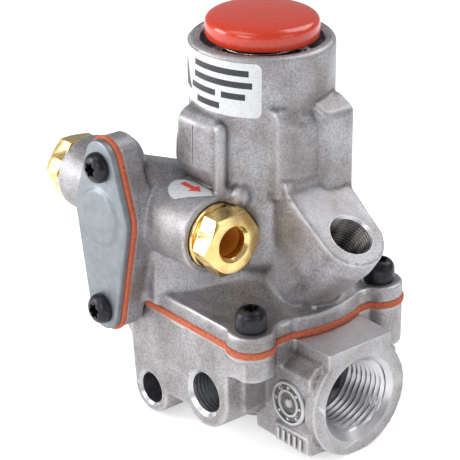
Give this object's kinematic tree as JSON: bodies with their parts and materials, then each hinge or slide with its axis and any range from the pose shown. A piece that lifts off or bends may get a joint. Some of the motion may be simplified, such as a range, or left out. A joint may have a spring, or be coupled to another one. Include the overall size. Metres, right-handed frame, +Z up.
{
  "type": "gas valve",
  "caption": "Cast gas safety valve with in-line threaded ports, red reset button, thermocouple port, side pilot line with cover plate and brass tube nuts.",
  "frame": {"origin": "on the axis of the reset barrel, at the flat base pad under the valve chamber", "axes": "+Z up the reset barrel, +X along the main gas flow from inlet to outlet, -Y towards the pilot cover and the mounting face"},
  "size_m": [0.0761, 0.0561, 0.0883],
  "materials": {
    "cast_alloy": "die cast, bead blasted, satin",
    "gasket_fibre": "fibrous, matte",
    "black_oxide_steel": "black oxide, semi-gloss",
    "zinc_plate": "blue zinc plated, satin",
    "brass": "turned, bright",
    "button_red": "glossy",
    "black_plastic": "moulded, matte",
    "spring_steel": "drawn wire, bright",
    "seal_rubber": "moulded, matte",
    "turned_aluminium": "turned",
    "magnet_iron": "ground",
    "white_nylon": "moulded",
    "enamelled_copper": "enamelled wire",
    "brown_phenolic": "moulded",
    "label_white": "satin film"
  },
  "bodies": {
    "housing": {"lower_body": "cast_alloy", "upper_body": "cast_alloy", "body_gasket": "gasket_fibre", "body_screws": "black_oxide_steel", "pilot_cover_plate": "zinc_plate", "pilot_cover_gasket": "gasket_fibre", "pilot_cover_screws": "black_oxide_steel", "pilot_inlet_nut": "brass", "pilot_outlet_nut": "brass", "pilot_inlet_ferrule": "brass", "pilot_outlet_ferrule": "brass", "pilot_filter": "spring_steel", "button_guide": "black_plastic", "guide_snap_ring": "spring_steel", "plunger_seal": "seal_rubber", "button_spring": "spring_steel", "magnet_bridge": "turned_aluminium", "magnet_core": "magnet_iron", "coil_bobbin": "white_nylon", "magnet_coil": "enamelled_copper", "partition_plate": "brass", "valve_seat": "brass", "closing_spring": "spring_steel", "thermocouple_contact": "brass", "contact_insulator": "brown_phenolic", "coil_lead": "enamelled_copper", "barrel_label": "label_white", "flow_label": "label_white"},
    "reset_button": {"button_cap": "button_red", "button_plunger": "brass", "push_rods": "spring_steel", "interrupter_disc": "turned_aluminium", "interrupter_seal": "seal_rubber", "override_spring": "spring_steel"},
    "valve_train": {"armature": "magnet_iron", "valve_spindle": "spring_steel", "spindle_nuts": "brass", "pilot_valve_disc": "seal_rubber", "main_valve_disc": "brass", "main_valve_seal": "seal_rubber"}
  },
  "joints": [
    {"name": "reset_press", "type": "slide", "parent": "housing", "child": "reset_button", "axis": [0, 0, 1], "range_m": [-0.006, 0], "stiffness_N_per_m": 700, "springref_m": 0.003, "deforming": ["button_spring", "override_spring"]},
    {"name": "valve_open", "type": "slide", "parent": "housing", "child": "valve_train", "axis": [0, 0, 1], "range_m": [-0.005, 0], "stiffness_N_per_m": 300, "springref_m": 0.003, "deforming": ["closing_spring"]}
  ]
}
